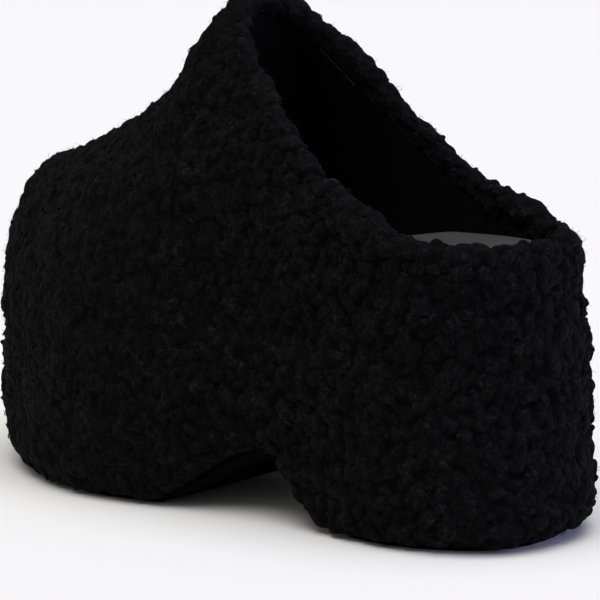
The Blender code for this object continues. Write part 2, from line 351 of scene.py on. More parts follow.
SOLID_LOCKS = tree_of(lock_centres())


def lock_swell(points):
    """How far the solid's locks stand out at each point."""
    nearest = np.array([SOLID_LOCKS.find(p)[2] for p in points.reshape(-1, 3)])
    return LOCK_SWELL * (1 - 2 * nearest / LOCK_PITCH).reshape(points.shape[:-1])


def hoop_points(side, places, angles):
    """Points on one side of whole hoops (1 left, -1 right), by angle up from the feather line."""
    middle, half = plan(places)
    low = feather(places)
    top_place, high = crest(places)
    top_middle = plan(top_place)[0]
    out = np.clip(np.cos(angles), 0, 1) ** (2 / HOOP_POWER)
    up = np.clip(np.sin(angles), 0, 1) ** (2 / HOOP_POWER)
    x = top_place + (places - top_place) * out
    y = top_middle + (middle + side * half - top_middle) * out
    return np.stack([x, y, low + (high - low) * up], axis=-1)


def hoop_reach(places):
    """Angle at which each hoop ends, at the collar or on the crest."""
    low, (_, high) = feather(places), crest(places)
    share = np.where(places < THROAT_AT, (collar_height(places) - low) / (high - low), 1)
    return np.arcsin(np.clip(share, 0, 1) ** (HOOP_POWER / 2))


def hoop_normals(side, places, angles):
    step = 0.00002
    forward = hoop_points(side, places + step, angles) - hoop_points(side, places - step, angles)
    round_it = hoop_points(side, places, angles + step) - hoop_points(side, places, angles - step)
    normals = side * np.cross(round_it, forward)
    on_crest = angles > 1.57
    normals[on_crest] = np.cross(forward, (0, 1, 0))[on_crest]
    normals[:, places >= LENGTH] = np.cross((0, 1, 0), round_it)[:, places >= LENGTH]
    normals[:, places <= 0] = (-1, 0, 0)
    return unit(normals)


def side_inset(places, share):
    """How far the platform's side stands in from the outline at a share of its height."""
    height = share * (feather(places) - tread(places))
    tuck = along(TUCK, LENGTH, (BACK_TUCK, SIDE_TUCK, TOE_TUCK), places)
    tuck = tuck * np.clip(1 - height / FOOT_ROUND, 0, 1) ** 2
    flare = HEEL_FLARE * np.clip(1 - places / BREAST_AT, 0, 1) * (1 - share)
    return tuck - flare - SIDE_BULGE * np.sin(np.pi * share)


# The solids are centred on their box, so a place on the foot is moved by what the insole shows
edge = WALL + SIDE_CLEARANCE
left, right = (side_line(np.linspace(0, LENGTH, 2000), side, edge)[0][:, 1] for side in (1, -1))
low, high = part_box("insole")
TO_ROW = Vector((low.x - edge, (low.y + high.y - left.max() - right.min()) / 2, 0))


def new_piece(name, mesh, material, replaces=()):
    """Puts a mesh into the scene as a piece of the shoe, from foot places to the row's frame."""
    piece = bpy.data.objects.new(name, mesh)
    bpy.context.scene.collection.objects.link(piece)
    mesh.transform(Matrix.Translation(TO_ROW))
    mesh.materials.clear()
    mesh.materials.append(material)
    mesh.shade_smooth()
    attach(piece, "root")
    if replaces:
        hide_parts(*replaces)
    return piece


def grid_faces(rows, columns, closed=False):
    """Four corners of every face of a grid of points, whose last column joins the first where closed."""
    index = np.arange(rows * columns).reshape(rows, columns)
    ahead = np.roll(index, -1, axis=1)
    if not closed:
        index, ahead = index[:, :-1], ahead[:, :-1]
    return np.stack([index[:-1], ahead[:-1], ahead[1:], index[1:]], axis=-1).reshape(-1, 4)


def merge(mesh, distance=MERGE_DISTANCE):
    """Merges points that lie on each other and turns the faces outwards."""
    bm = bmesh.new()
    bm.from_mesh(mesh)
    bmesh.ops.remove_doubles(bm, verts=bm.verts, dist=distance)
    bmesh.ops.recalc_face_normals(bm, faces=bm.faces)
    bm.to_mesh(mesh)
    bm.free()


def wool_mesh(name, parts):
    """A mesh of parts that each give points, faces, roots, tones and places, kept clear of the floor."""
    points, faces, roots, tones, places = (np.concatenate(column) for column in zip(*parts))
    points[:, 2] = np.maximum(points[:, 2], FLOOR_CLEARANCE)
    mesh = bpy.data.meshes.new(name)
    mesh.from_pydata(points, [], faces)
    mesh.attributes.new("root_to_tip", "FLOAT", "POINT").data.foreach_set("value", roots)
    mesh.attributes.new("curl_tone", "FLOAT", "POINT").data.foreach_set("value", tones)
    mesh.attributes.new("fibre_place", "FLOAT_VECTOR", "POINT").data.foreach_set("vector", places.ravel())
    return mesh


# ---- Materials ----


def add(tree, kind, **inputs):
    """New node with some of its inputs set, by name with _ for a space."""
    node = tree.nodes.new(kind)
    for name, value in inputs.items():
        node.inputs[name.replace("_", " ")].default_value = value
    return node


def shader_group(name, inputs, outputs):
    tree = bpy.data.node_groups.new(name, "ShaderNodeTree")
    for label, value in inputs.items():
        socket = tree.interface.new_socket(label, in_out="INPUT", socket_type="NodeSocketFloat")
        socket.default_value = value
    for label, kind in outputs.items():
        tree.interface.new_socket(label, in_out="OUTPUT", socket_type=kind)
    return tree, tree.nodes.new("NodeGroupInput"), tree.nodes.new("NodeGroupOutput")


def make_wool_group():
    """Wool up close: small lumps and fibres that run along each lock, with painted light in the tone:
    painted highlights in thin curly lines like single fibres, and painted shade at lock roots, in the
    creases between lumps and along thin dark lines.
    """
    tree, given, result = shader_group(
        "wool_fibres",
        {"Fibre Count": 5.0, "Lump Scale": 560.0, "Squiggle Scale": 340.0, "Root Shade": 0.3},
        {"Height": "NodeSocketFloat", "Tone": "NodeSocketFloat"},
    )
    link = tree.links.new

    def attribute(name):
        node = tree.nodes.new("ShaderNodeAttribute")
        node.attribute_name = name
        return node.outputs

    def maths(operation, a, b):
        node = tree.nodes.new("ShaderNodeMath")
        node.operation = operation
        for socket, value in zip(node.inputs, (a, b)):
            if isinstance(value, float):
                socket.default_value = value
            else:
                link(value, socket)
        return node.outputs[0]

    def remap(value, low, high, out_low, out_high):
        node = tree.nodes.new("ShaderNodeMapRange")
        link(value, node.inputs["Value"])
        numbers = {"From Min": low, "From Max": high, "To Min": out_low, "To Max": out_high}
        for label, number in numbers.items():
            if isinstance(number, float):
                node.inputs[label].default_value = number
            else:
                link(number, node.inputs[label])
        return node.outputs["Result"]

    def noise(vector, **inputs):
        node = add(tree, "ShaderNodeTexNoise", **inputs)
        link(vector, node.inputs["Vector"])
        return node

    def thin_lines(value, full, none):
        """1 where a noise is at its middle, falling to 0 on both sides."""
        from_middle = maths("ABSOLUTE", maths("SUBTRACT", value, 0.5), 0.0)
        return remap(from_middle, full, none, 1.0, 0.0)

    fibres = noise(attribute("fibre_place")["Vector"], Detail=2.0, Roughness=0.6)
    link(given.outputs["Fibre Count"], fibres.inputs["Scale"])

    place = tree.nodes.new("ShaderNodeTexCoord").outputs["Object"]
    warp = noise(place, Scale=380.0, Detail=1.0)
    shift = tree.nodes.new("ShaderNodeVectorMath")
    shift.operation = "MULTIPLY_ADD"
    link(warp.outputs["Color"], shift.inputs[0])
    shift.inputs[1].default_value = (0.0022, 0.0022, 0.0022)
    link(place, shift.inputs[2])
    lumps = tree.nodes.new("ShaderNodeTexVoronoi")
    link(shift.outputs[0], lumps.inputs["Vector"])
    link(given.outputs["Lump Scale"], lumps.inputs["Scale"])
    rise = maths("SUBTRACT", 1.0, lumps.outputs["Distance"])
    height = maths("ADD", maths("MULTIPLY", rise, 0.7), maths("MULTIPLY", fibres.outputs["Fac"], 0.6))
    link(height, result.inputs["Height"])

    # Painted highlights: thin bright curly lines like single fibres catching the light, where the patch
    # noise is high
    lines = noise(shift.outputs[0], Detail=1.0)
    link(given.outputs["Squiggle Scale"], lines.inputs["Scale"])
    line = thin_lines(lines.outputs["Fac"], 0.012, 0.042)
    patches = noise(place, Scale=150.0, Detail=1.0)
    fibre_highlights = maths("MULTIPLY", line, remap(patches.outputs["Fac"], 0.50, 0.66, 0.0, FIBRE_HIGHLIGHT_BOOST))

    # Painted shade: the tone falls to Root Shade towards each lock's root, as shade deep in the pile
    shade = remap(attribute("root_to_tip")["Fac"], 0.15, 0.8, given.outputs["Root Shade"], 1.0)
    tone = maths("MULTIPLY", shade, attribute("curl_tone")["Fac"])
    striped = maths("MULTIPLY", tone, remap(fibres.outputs["Fac"], 0.33, 0.67, 0.45, 1.3))
    # Painted shade: darker in the creases between the small lumps and a little lighter on their tops
    crease_shaded = maths("MULTIPLY", striped, remap(lumps.outputs["Distance"], 0.35, 0.75, 1.08, 0.5))
    # Painted shade: thin dark lines between the locks, strongest where the patch noise is low
    shade_line_noise = noise(shift.outputs[0], Scale=300.0, Detail=1.0)
    shade_line = thin_lines(shade_line_noise.outputs["Fac"], 0.008, 0.035)
    shade_line_strength = maths("MULTIPLY", shade_line, remap(patches.outputs["Fac"], 0.42, 0.58, 0.8, 0.0))
    line_shaded = maths("MULTIPLY", crease_shaded, maths("SUBTRACT", 1.0, shade_line_strength))
    link(maths("MULTIPLY", maths("ADD", line_shaded, fibre_highlights), 0.25), result.inputs["Tone"])
    return tree


def make_grain_group():
    """Leather or rubber grain: a height for the bump and a mask of wear."""
    tree, given, result = shader_group(
        "fine_grain",
        {"Grain Scale": 900.0, "Wear Scale": 30.0},
        {"Height": "NodeSocketFloat", "Wear": "NodeSocketFloat"},
    )
    link = tree.links.new
    place = tree.nodes.new("ShaderNodeTexCoord")
    cells = tree.nodes.new("ShaderNodeTexVoronoi")
    cells.feature = "SMOOTH_F1"
    link(place.outputs["Object"], cells.inputs["Vector"])
    link(given.outputs["Grain Scale"], cells.inputs["Scale"])
    link(cells.outputs["Distance"], result.inputs["Height"])
    wear = add(tree, "ShaderNodeTexNoise", Detail=4.0)
    link(place.outputs["Object"], wear.inputs["Vector"])
    link(given.outputs["Wear Scale"], wear.inputs["Scale"])
    link(wear.outputs["Fac"], result.inputs["Wear"])
    return tree


WOOL = make_wool_group()
GRAIN = make_grain_group()


def principled(name, roughness, **inputs):
    material = bpy.data.materials.new(name)
    material.use_nodes = True
    shader = material.node_tree.nodes["Principled BSDF"]
    shader.inputs["Roughness"].default_value = roughness
    for label, value in inputs.items():
        shader.inputs[label.replace("_", " ")].default_value = value
    return material, material.node_tree, shader


def mixed_colour(tree, factor, low, high, shader):
    mix = tree.nodes.new("ShaderNodeMix")
    mix.data_type = "RGBA"
    mix.inputs["A"].default_value = (*low, 1)
    mix.inputs["B"].default_value = (*high, 1)
    tree.links.new(factor, mix.inputs["Factor"])
    tree.links.new(mix.outputs["Result"], shader.inputs["Base Color"])


def bumped(tree, height, strength, distance, shader):
    bump = add(tree, "ShaderNodeBump", Strength=strength, Distance=distance)
    tree.links.new(height, bump.inputs["Height"])
    tree.links.new(bump.outputs["Normal"], shader.inputs["Normal"])


def wool_material(name, dark, light, root_shade, sheen, roughness=0.9):
    sheen_looks = {"Sheen_Weight": sheen, "Sheen_Roughness": 0.5, "Sheen_Tint": (0.7, 0.7, 0.75, 1)}
    material, tree, shader = principled(name, roughness, Specular_IOR_Level=0.05, **sheen_looks)
    wool = tree.nodes.new("ShaderNodeGroup")
    wool.node_tree = WOOL
    wool.inputs["Root Shade"].default_value = root_shade
    mixed_colour(tree, wool.outputs["Tone"], dark, light, shader)
    bumped(tree, wool.outputs["Height"], 1.0, WOOL_BUMP, shader)
    return material


def grained_material(name, dark, light, grain_scale, strength, roughness, gloss):
    material, tree, shader = principled(name, roughness, Specular_IOR_Level=gloss)
    grain = tree.nodes.new("ShaderNodeGroup")
    grain.node_tree = GRAIN
    grain.inputs["Grain Scale"].default_value = grain_scale
    mixed_colour(tree, grain.outputs["Wear"], dark, light, shader)
    bumped(tree, grain.outputs["Height"], strength, GRAIN_BUMP, shader)
    return material


def plain_material(name, colour, roughness, **inputs):
    material, _, shader = principled(name, roughness, **inputs)
    shader.inputs["Base Color"].default_value = (*colour, 1)
    return material


CURL_WOOL = wool_material("curl_wool", (0.0002, 0.0002, 0.0002), (0.0175, 0.0173, 0.0180), 0.26, 0.010)
WISP_WOOL = wool_material("wisp_wool", (0.0016, 0.0016, 0.0016), (0.0300, 0.0300, 0.0300), 0.5, 0.012, 0.8)
BACKING = plain_material("pile_backing", (0.0008, 0.0008, 0.0009), 0.95, Specular_IOR_Level=0.03)
FIBRE = plain_material("stray_fibre", (0.008, 0.008, 0.0083), 0.6, Specular_IOR_Level=0.15)
LINING = grained_material(
    "smooth_lining", (0.003, 0.003, 0.0031), (0.0046, 0.0046, 0.0048), 1100.0, 0.1, 0.6, 0.03
)
BINDING = plain_material("bound_edge", (0.012, 0.012, 0.013), 0.2)
FOOTBED = grained_material(
    "footbed_leather", (0.034, 0.034, 0.037), (0.052, 0.052, 0.056), 800.0, 0.3, 0.5, 0.2
)
RUBBER = grained_material(
    "sole_rubber", (0.0009, 0.0009, 0.001), (0.0017, 0.0017, 0.0018), 500.0, 0.4, 0.8, 0.03
)

# ---- Curls ----


def tuft_shape(number):
    """A lumpy tuft: an icosphere lobed, squeezed and twisted, open where it sits in the backing."""
    own = np.random.default_rng(100 + number)
    bpy.ops.mesh.primitive_ico_sphere_add(subdivisions=2, radius=1)
    ball = bpy.context.object
    points = np.array([v.co for v in ball.data.vertices])
    faces = np.array([p.vertices[:] for p in ball.data.polygons])
    bpy.data.meshes.remove(ball.data)
    around = np.arctan2(points[:, 1], points[:, 0]) + own.uniform(-1.5, 1.5) * points[:, 2]
    fibre_place = np.stack([np.cos(around), np.sin(around), 0.35 * points[:, 2]], axis=1)
    for way in unit(own.normal(size=(7, 3)) * (1, 1, 0.8)):
        near = np.exp((unit(points) @ way - 1) / 0.16)
        points = points + own.uniform(-0.34, 0.34) * near[:, None] * way
    points *= (own.uniform(1.0, 1.4), own.uniform(0.75, 1.0), own.uniform(0.7, 0.95))
    turn = own.uniform(-0.5, 0.5) * points[:, 2]
    x = points[:, 0] * np.cos(turn) - points[:, 1] * np.sin(turn)
    y = points[:, 0] * np.sin(turn) + points[:, 1] * np.cos(turn)
    points = np.stack([x, y, points[:, 2]], axis=1)
    kept = faces[points[faces][:, :, 2].mean(axis=1) > -0.45]
    used = np.unique(kept)
    renumber = np.zeros(len(points), int)
    renumber[used] = np.arange(len(used))
    return points[used], renumber[kept], fibre_place[used], np.clip(points[used, 2] * 0.55 + 0.45, 0, 1)


def tube_shape(centre, thick, sides, twist):
    """A closed tapering tube along a centre line, with fibres that run along it."""
    rings = len(centre)
    ahead = unit(np.gradient(centre, axis=0))
    across = unit(np.cross(ahead, (0.05, 0.03, 1)))
    above = np.cross(across, ahead)
    turn = np.linspace(0, 2 * np.pi, sides, endpoint=False)
    rows, places = [], []
    for i in range(rings):
        ring = np.outer(np.cos(turn), across[i]) + np.outer(np.sin(turn), above[i])
        rows.append(centre[i] + thick[i] * ring)
        phase = turn + twist * i / rings
        places.append(np.stack([np.cos(phase), np.sin(phase), np.full(sides, 0.5 * i / rings)], axis=1))
    rows += [centre[:1] - thick[0] * 0.7 * ahead[:1], centre[-1:] + thick[-1] * 0.7 * ahead[-1:]]
    places += [np.array([[0, 0, -0.1]]), np.array([[0, 0, 0.6]])]
    points = np.concatenate(rows)
    faces = []
    for i in range(rings - 1):
        for j in range(sides):
            a, b = i * sides + j, i * sides + (j + 1) % sides
            faces += [(a, b, b + sides), (a, b + sides, a + sides)]
    start, end = rings * sides, rings * sides + 1
    for j in range(sides):
        k = (j + 1) % sides
        faces += [(start, k, j), (end, (rings - 1) * sides + j, (rings - 1) * sides + k)]
    return points, np.array(faces), np.concatenate(places), np.clip(points[:, 2] * 0.55 + 0.5, 0, 1)


def comma_shape(number):
    """A thick short lock bent in the plane of the hide, with both ends tucked in."""
    own = np.random.default_rng(200 + number)
    t = np.linspace(0, 1, 6)
    sweep, length = own.uniform(0.5, 1.5) * np.pi, own.uniform(1.5, 2.3)
    angle = (t - 0.5) * sweep
    radius = length / sweep
    rise = 0.55 * np.sin(np.pi * t) - 0.25
    centre = np.stack([radius * np.sin(angle), radius * (1 - np.cos(angle)), rise], axis=1)
    centre[:, 1] -= centre[:, 1].mean()
    centre[:, 2] += own.uniform(-0.12, 0.12, len(t))
    thick = own.uniform(0.48, 0.62) * np.sin(np.pi * (0.14 + 0.74 * t)) ** 0.45
    thick = thick * own.uniform(0.88, 1.12, len(t))
    return tube_shape(centre, thick, 6, own.uniform(-4, 4))


def wisp_shape(number):
    """A thin tendril curled round on itself."""
    own = np.random.default_rng(300 + number)
    t = np.linspace(0, 1, 7)
    angle = own.uniform(0.9, 1.9) * np.pi * t
    radius = own.uniform(0.4, 0.6) * (1 - 0.35 * t)
    rise = 0.4 * np.sin(np.pi * t) - 0.1
    centre = np.stack([radius * np.cos(angle), radius * np.sin(angle), rise], axis=1)
    centre[:, :2] -= centre[:, :2].mean(axis=0)
    thick = own.uniform(0.08, 0.13) * np.sin(np.pi * (0.16 + 0.7 * t)) ** 0.5
    return tube_shape(centre, thick, 4, own.uniform(-3, 3))


CURL_SHAPES = [tuft_shape(n) for n in range(TUFT_KINDS)] + [comma_shape(n) for n in range(TUFT_KINDS)]
WISP_SHAPES = [wisp_shape(n) for n in range(WISP_KINDS)]


def frames_on(normals, own):
    """Two directions square to each normal, turned at random."""
    helper = np.where(np.abs(normals[:, 2:3]) < 0.9, (0, 0, 1), (1, 0, 0))
    first = unit(np.cross(normals, helper))
    second = np.cross(normals, first)
    turn = own.uniform(0, 2 * np.pi, (len(normals), 1))
    return first * np.cos(turn) + second * np.sin(turn), second * np.cos(turn) - first * np.sin(turn)


def grown(name, shapes, points, normals, size, sink, material, node, own):
    """One piece of many locks, each a copy of one of the shapes set on the hide at its point."""
    up = unit(normals + own.normal(size=normals.shape) * 0.22)
    across, ahead = frames_on(up, own)
    stretch = own.uniform(0.85, 1.2, (len(points), 3)) * size[:, None]
    base_point = points - normals * sink[:, None]
    kind = own.integers(0, len(shapes), len(points))
    tone = own.uniform(*LOCK_TONE, len(points))
    shift = own.uniform(0, 40, len(points))
    parts, count = [], 0
    for number, (shape, faces, places, roots) in enumerate(shapes):
        chosen = np.flatnonzero(kind == number)
        local = shape[None] * stretch[chosen, None]
        placed = (
            local[..., :1] * across[chosen, None]
            + local[..., 1:2] * ahead[chosen, None]
            + local[..., 2:] * up[chosen, None]
            + base_point[chosen, None]
        )
        first = count + np.arange(len(chosen))[:, None, None] * len(shape)
        moved = places[None] + shift[chosen, None, None] * (0, 0, 1)
        placed, moved, copied = (each.reshape(-1, 3) for each in (placed, moved, faces[None] + first))
        tones = np.repeat(tone[chosen], len(shape))
        parts.append((placed, copied, np.tile(roots, len(chosen)), tones, moved))
        count += len(chosen) * len(shape)
    new_piece(name, wool_mesh(name, parts), material, (node,))


# ---- Where the pile grows ----


def even_places(start, end, step):
    """Places that lie a step apart along the outline."""
    dense = start + (end - start) * (0.5 - 0.5 * np.cos(np.linspace(0, np.pi, 3001)))
    line = side_line(dense, 1, 0)[0]
    run = np.concatenate([[0], np.cumsum(np.linalg.norm(np.diff(line, axis=0), axis=1))])
    return np.interp(np.linspace(0, run[-1], int(run[-1] / step) + 1), run, dense)


def lip_fullness(side, places):
    """How much further the lip and the pile just below it stand out on one side of the collar."""
    table = np.array(LIP_FULLNESS)
    fuller = smooth(table[:, 0], table[:, 1 if side > 0 else 2], places)
    return np.where(places < THROAT_AT, fuller, 0)


def upper_patch(side, step):
    places = np.concatenate([even_places(0, THROAT_AT, step)[:-1], even_places(THROAT_AT, LENGTH, step)])
    share = np.linspace(0, 1, int(UPPER_RISE / step))
    angles = np.outer(share, hoop_reach(places))
    points = hoop_points(side, places, angles)
    normals = hoop_normals(side, places, angles)
    below_lip = 0.6 * np.clip((share - 0.6) / 0.4, 0, 1) ** 2
    lift = lock_swell(points) + np.outer(below_lip, lip_fullness(side, places))
    at_toe = np.clip((places - TOE_FULL_FROM) / TOE_FULL_OVER, 0, 1)
    lift += TOE_FULLNESS * np.outer(4 * share * (1 - share), at_toe)
    return points + normals * lift[..., None], normals


def collar_loop(step):
    """Outer points, normals, inner points and fullness round the collar's edge, left side first."""
    heel = even_places(0, THROAT_AT, step)
    reach = hoop_reach(heel)[None]
    sides = [
        (hoop_points(side, heel, reach)[0], hoop_normals(side, heel, reach)[0], lip_fullness(side, heel))
        for side in (1, -1)
    ]
    outer, normals, fuller = (np.concatenate([left, right[-2:0:-1]]) for left, right in zip(*sides))
    return outer + normals * lock_swell(outer)[..., None], normals, outer - normals * WALL, fuller


def lip_patch(step):
    """The rounded lip over the collar's edge."""
    outer, normals, inner, fuller = collar_loop(step)
    tangent = np.roll(outer, -1, axis=0) - np.roll(outer, 1, axis=0)
    upward = unit(np.cross(tangent, normals))
    middle, out = (outer + inner) / 2, (outer - inner) / 2
    radius = np.linalg.norm(out, axis=1)[:, None]
    turns = np.linspace(0, np.pi, int(LIP_ROUND / step))[:, None, None]
    ways = out / radius * np.cos(turns) + upward * np.sin(turns)
    points = middle + (radius + fuller[:, None] * (0.3 + 0.3 * np.cos(turns) + 0.7 * np.sin(turns))) * ways
    return np.concatenate([points, points[:, :1]], axis=1), np.concatenate([ways, ways[:, :1]], axis=1)


def collar_height(places):
    return along(COLLAR, THROAT_AT, (RIM_HEIGHT, QUARTER_HEIGHT, THROAT_HEIGHT), places)


def turn_in_share(places):
    """Share of a hoop's length that the turned-in pile takes at its top."""
    return np.clip(TURN_IN / np.maximum(0.002, (collar_height(places) - feather(places)) * 1.15), 0, 0.85)


def turned_in_patch(side, step):
    heel = even_places(0, THROAT_AT, step)
    share = np.linspace(0, 1, int(TURN_IN / step) + 2)[:, None]
    angles = (1 - share * turn_in_share(heel)) * hoop_reach(heel)
    normals = hoop_normals(side, heel, angles)
    return hoop_points(side, heel, angles) - normals * WALL, -normals


def pile_foot(places):
    """Height of the pile's lower edge, which is lifted a little under the arch."""
    under_arch = tread(places) / ARCH_HEIGHT * (places < TOE_TREAD_END_AT)
    at_back = np.clip(1 - places / BACK_LIFT_OVER, 0, 1)
    return tread(places) + PILE_FOOT + ARCH_LIFT * under_arch + BACK_LIFT * at_back


def platform_patch(side, step):
    places = even_places(0, LENGTH, step)
    rows = []
    for share in np.linspace(0, 1.01, int(PLATFORM_RISE / step)):
        line, normal = side_line(places, side, side_inset(places, share))
        foot = pile_foot(line[:, 0])
        points = np.column_stack([line, foot * (1 - share) + (feather(line[:, 0]) - GAP) * share])
        swell = lock_swell(points) * np.clip(share * 2.3, 0, 1)
        points[:, :2] += normal * swell[:, None]
        rows.append(points)
    points = np.array(rows)
    normals = unit(side * np.cross(np.gradient(points, axis=0), np.gradient(points, axis=1)))
    flat = np.zeros_like(points)
    flat[..., :2] = side_line(places, side, 0)[1]
    normals[:, :2], normals[:, -2:] = flat[:, :2], flat[:, -2:]
    return points, normals


def breast_patch(step):
    """The heel's front face, from its foot up to the top of the arch."""
    places = np.linspace(BREAST_AT - BREAST_SUNK, ARCH_TOP_AT - 0.001, int(BREAST_RISE / step))
    left, _ = side_line(places, 1, side_inset(places, 0))
    right, _ = side_line(places, -1, side_inset(places, 0))
    share = np.linspace(0, 1, int(BREAST_WIDTH / step))[:, None, None]
    flat = left * (1 - share) + right * share
    height = np.broadcast_to(tread(places) + OUTSOLE_THICKNESS + GAP, flat.shape[:-1])
    points = np.concatenate([flat, height[..., None]], axis=-1)
    slope = np.gradient(tread(places), places)
    normals = np.stack([slope, np.zeros_like(slope), -np.ones_like(slope)], axis=-1)
    return points, np.broadcast_to(unit(normals), points.shape)


PATCHES = (
    ("upper", "upper_left_pile", lambda step: upper_patch(1, step)),
    ("upper", "upper_right_pile", lambda step: upper_patch(-1, step)),
    ("upper", "collar_lip_pile", lip_patch),
    ("upper", "turned_in_left_pile", lambda step: turned_in_patch(1, step)),
    ("upper", "turned_in_right_pile", lambda step: turned_in_patch(-1, step)),
    ("platform", "platform_left_pile", lambda step: platform_patch(1, step)),
    ("platform", "platform_right_pile", lambda step: platform_patch(-1, step)),
    ("platform", "heel_breast_pile", breast_patch),
)


def scatter(patch, density, own):
    """Random points and normals, even over the area of a patch."""
    points, normals = patch
    a, b, c, d = points[:-1, :-1], points[1:, :-1], points[1:, 1:], points[:-1, 1:]
    area = np.linalg.norm(np.cross(c - a, d - b), axis=-1) / 2
    number = int(area.sum() * density)
    cell = own.choice(area.size, number, p=area.ravel() / area.sum())
    i, j = np.unravel_index(cell, area.shape)
    u, v = own.random((2, number, 1))
    found = []
    for grid in (points, normals):
        low = grid[i, j] * (1 - v) + grid[i, j + 1] * v
        high = grid[i + 1, j] * (1 - v) + grid[i + 1, j + 1] * v
        found.append(low * (1 - u) + high * u)
    return found[0], unit(found[1])


def apart(points, pitch, own):
    """Numbers of points picked at random so that none is nearer to another than its pitch."""
    tree = tree_of(points)
    free = np.ones(len(points), bool)
    kept = []
    for i in own.permutation(len(points)):
        if free[i]:
            kept.append(i)
            for _, j, _ in tree.find_range(points[i], pitch[i]):
                free[j] = False
    return np.array(kept)


def toe_share(points):
    """From 0 at the heel to 1 over the toes, where the pile is pressed flatter."""
    return np.clip((points[..., 0] - PRESSED_FROM) / PRESSED_OVER, 0, 1)


def pitch_at(points):
    return LOCK_GAP_HEEL + (LOCK_GAP_TOE - LOCK_GAP_HEEL) * toe_share(points)


def candidates():
    """Many random points over the whole pile, their normals, and the node each belongs to."""
    density = POINTS_PER_LOCK / LOCK_GAP_TOE**2
    found = [scatter(patch(SCATTER_STEP), density, rng) for _, _, patch in PATCHES]
    owner = np.concatenate([[node] * len(points) for (node, _, _), (points, _) in zip(PATCHES, found)])
    points, ways = (np.concatenate(column) for column in zip(*found))
    return points, ways, owner


class Locks:
    """The locks of the pile: each a dome of its own length, width and height round its own point."""

    def __init__(self, points, normals, pitch, own):
        self.middle = points
        self.along, self.across = frames_on(normals, own)
        toward_toe = toe_share(points)
        self.length = pitch * own.uniform(*LOCK_LENGTH, len(points)) * (1 + 0.08 * toward_toe)
        self.width = pitch * own.uniform(*LOCK_WIDTH, len(points)) * (1 + 0.08 * toward_toe)
        self.height = pitch * own.uniform(*LOCK_HEIGHT, len(points)) * (1 - 0.05 * toward_toe)
        self.tone = own.uniform(*LOCK_TONE, len(points))
        self.tree = tree_of(points)

    def over(self, points):
        """Height over the hide at each point, with the tone, root-to-tip share and fibre place there."""
        near = np.array([[hit[1] for hit in self.tree.find_n(p, LOCKS_NEAR)] for p in points])
        away = points[:, None] - self.middle[near]
        u = (away * self.along[near]).sum(axis=-1) / self.length[near]
        v = (away * self.across[near]).sum(axis=-1) / self.width[near]
        dome = np.clip(1 - u**2 - v**2, 0, 1) ** 0.5
        heights = self.height[near] * dome
        top = heights.argmax(axis=1)
        rows = np.arange(len(points))
        best = near[rows, top]
        lowest = LOWEST_LOCK * (1 + toe_share(points))
        height = np.maximum((heights**LOCK_BLEND).sum(axis=1) ** (1 / LOCK_BLEND), lowest)
        own_part = (best * 0.618 * 7) % 50
        place = np.stack([0.35 * u[rows, top], 1.3 * v[rows, top], own_part], axis=1)
        return height, self.tone[best], dome[rows, top], place


def bend(points):
    """Points moved about by a slow wave, so that the locks aren't regular."""
    x, y, z = np.moveaxis(points / BEND_SIZE, -1, 0)
    shift = np.stack(
        [
            np.sin(5.1 * y + 2.3 * np.sin(3.7 * z)) + np.sin(4.3 * z + 1.1),
            np.sin(4.7 * z + 2.1 * np.sin(4.1 * x)) + np.sin(5.3 * x + 0.4),
            np.sin(5.5 * x + 2.6 * np.sin(3.3 * y)) + np.sin(4.9 * y + 2.2),
        ],
        axis=-1,
    )
    return points + shift * BEND_REACH / 2


def add_pile_skins(locks):
    """The pile's own surface on upper and platform: rounded locks with creases between them."""
    for node in ("upper", "platform"):
        parts, count = [], 0
        for owner, name, patch in PATCHES:
            if owner != node:
                continue
            points, normals = patch(SKIN_STEP)
            flat, ways = points.reshape(-1, 3), normals.reshape(-1, 3)
            height, tone, root, place = locks.over(bend(flat))
            lift = height - SKIN_DEPTH
            if "turned_in" in name:
                lift.reshape(points.shape[:2])[-1] = -EDGE_TUCK
            if "platform" in name:
                lift.reshape(points.shape[:2])[0] = -EDGE_TUCK
            faces = grid_faces(*points.shape[:2])
            if "left" in name or name == "collar_lip_pile":
                faces = faces[:, ::-1]
            parts.append((flat + ways * lift[:, None], faces + count, root, tone, place))
            count += len(flat)
        mesh = wool_mesh(node + "_pile", parts)
        bm = bmesh.new()
        bm.from_mesh(mesh)
        bmesh.ops.remove_doubles(bm, verts=bm.verts, dist=MERGE_DISTANCE)
        bmesh.ops.dissolve_degenerate(bm, edges=bm.edges, dist=0.000001)
        bm.to_mesh(mesh)
        bm.free()
        new_piece(node + "_pile", mesh, CURL_WOOL, (node,))


def add_pile():
    """Grows the whole pile, and gives the tops of its locks and the ways they face."""
    points, normals, owner = candidates()
    pitch = pitch_at(points) * np.exp(rng.uniform(*GAP_SPREAD, len(points)))
    kept = apart(points, pitch * LOCK_SPACING, rng)
    locks = Locks(points[kept], normals[kept], pitch[kept], rng)
    add_pile_skins(locks)
    own = np.random.default_rng(40)
    tufts = apart(points, pitch * TUFT_SPACING, own)
    wisps = tufts[own.random(len(tufts)) < WISP_SHARE]
    tufts = tufts[own.random(len(tufts)) < TUFT_SHARE * (1 - 0.4 * toe_share(points[tufts]))]
    for node in ("upper", "platform"):
        for label, shapes, chosen, material in (
            (node + "_tufts", CURL_SHAPES, tufts, CURL_WOOL),
            (node + "_wisps", WISP_SHAPES, wisps, WISP_WOOL),
        ):
            clear = points[chosen, 2] > pile_foot(points[chosen, 0]) + LOWEST_TUFT
            here = chosen[(owner[chosen] == node) & clear]
            size = pitch[here] * own.uniform(*TUFT_SIZE, len(here))
            sink = SKIN_DEPTH - locks.over(points[here])[0] + size * (0.25 + 0.22 * toe_share(points[here]))
            if shapes is WISP_SHAPES:
                size = pitch[here] * own.uniform(*WISP_SIZE, len(here))
                sink -= size * 0.3
            grown(label, shapes, points[here], normals[here], size, sink, material, node, own)
    lift = locks.over(points[kept])[0] - SKIN_DEPTH
    return points[kept] + normals[kept] * lift[:, None], normals[kept]


